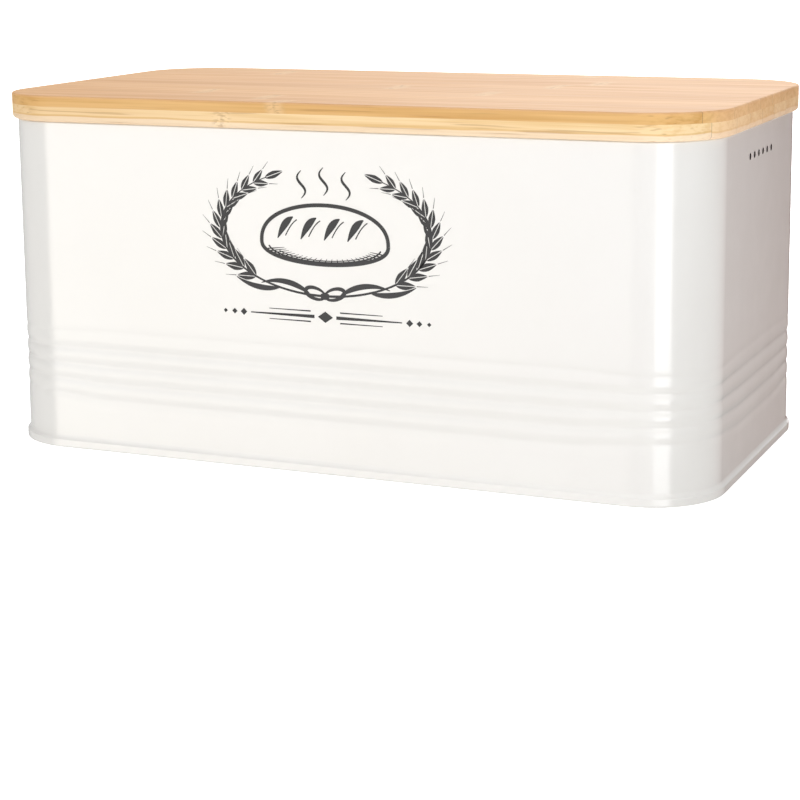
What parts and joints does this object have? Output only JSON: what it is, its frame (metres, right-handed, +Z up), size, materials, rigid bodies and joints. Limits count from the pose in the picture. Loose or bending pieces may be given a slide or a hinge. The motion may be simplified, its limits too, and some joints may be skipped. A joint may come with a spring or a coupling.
{
  "type": "bread box",
  "caption": "Rounded rectangular sheet steel bread box with ribbed wall, vents and a lift-off laminated bamboo lid that turns over as a grooved cutting board.",
  "frame": {"origin": "centre of the footprint, on the plane the base seam stands on", "axes": "+X along the length, to the right seen from the front; the printed front faces -Y; +Z up"},
  "size_m": [0.34, 0.184, 0.1622],
  "materials": {
    "enamel": "gloss",
    "bamboo_top": "satin",
    "bamboo_core": "satin",
    "bamboo_plug": "satin"
  },
  "bodies": {
    "box": {"body_shell": "enamel", "base_panel": "enamel"},
    "lid": {"top_strip_1": "bamboo_top", "top_strip_2": "bamboo_top", "top_strip_3": "bamboo_top", "top_strip_4": "bamboo_top", "top_strip_5": "bamboo_top", "top_strip_6": "bamboo_top", "top_strip_7": "bamboo_top", "top_strip_8": "bamboo_top", "top_strip_9": "bamboo_top", "core_strip_1": "bamboo_core", "core_strip_2": "bamboo_core", "core_strip_3": "bamboo_core", "core_strip_4": "bamboo_core", "core_strip_5": "bamboo_core", "core_strip_6": "bamboo_core", "core_strip_7": "bamboo_core", "core_strip_8": "bamboo_core", "core_strip_9": "bamboo_core", "plug_strip_1": "bamboo_plug", "plug_strip_2": "bamboo_plug", "plug_strip_3": "bamboo_plug", "plug_strip_4": "bamboo_plug", "plug_strip_5": "bamboo_plug", "plug_strip_6": "bamboo_plug", "plug_strip_7": "bamboo_plug", "plug_strip_8": "bamboo_plug"}
  },
  "joints": [
    {"name": "lid_lift", "type": "slide", "parent": "box", "child": "lid", "axis": [0, 0, 1], "range_m": [0, 0.18]}
  ]
}
